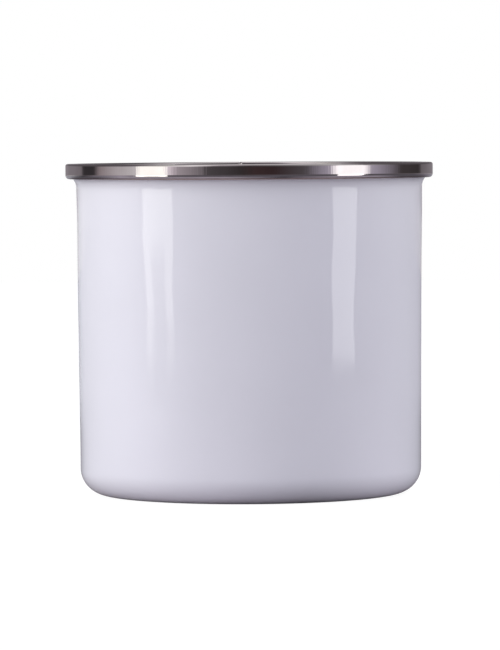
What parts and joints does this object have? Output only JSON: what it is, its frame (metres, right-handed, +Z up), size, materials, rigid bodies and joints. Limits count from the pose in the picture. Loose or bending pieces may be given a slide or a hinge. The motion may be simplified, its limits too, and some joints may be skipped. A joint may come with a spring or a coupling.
{
  "type": "enamel mug",
  "caption": "Enamelled steel drinking mug, nearly straight-sided, with a crimped stainless rim band and a strap handle.",
  "frame": {"origin": "centre of the foot, on the plane the mug stands on", "axes": "+Z up through the mouth, +Y from the cup's axis towards the handle, +X across the handle's strap"},
  "size_m": [0.09, 0.1171, 0.081],
  "materials": {
    "white_enamel": "gloss",
    "inside_enamel": "gloss",
    "rim_steel": "polished, lightly mottled",
    "bare_steel": "satin",
    "weld_steel": "matt"
  },
  "bodies": {
    "root": {"cup_shell": "bare_steel", "outer_enamel": "white_enamel", "inner_enamel": "inside_enamel", "rim_band": "rim_steel", "handle_strap": "bare_steel", "handle_enamel": "white_enamel", "spot_welds": "weld_steel"}
  },
  "joints": []
}
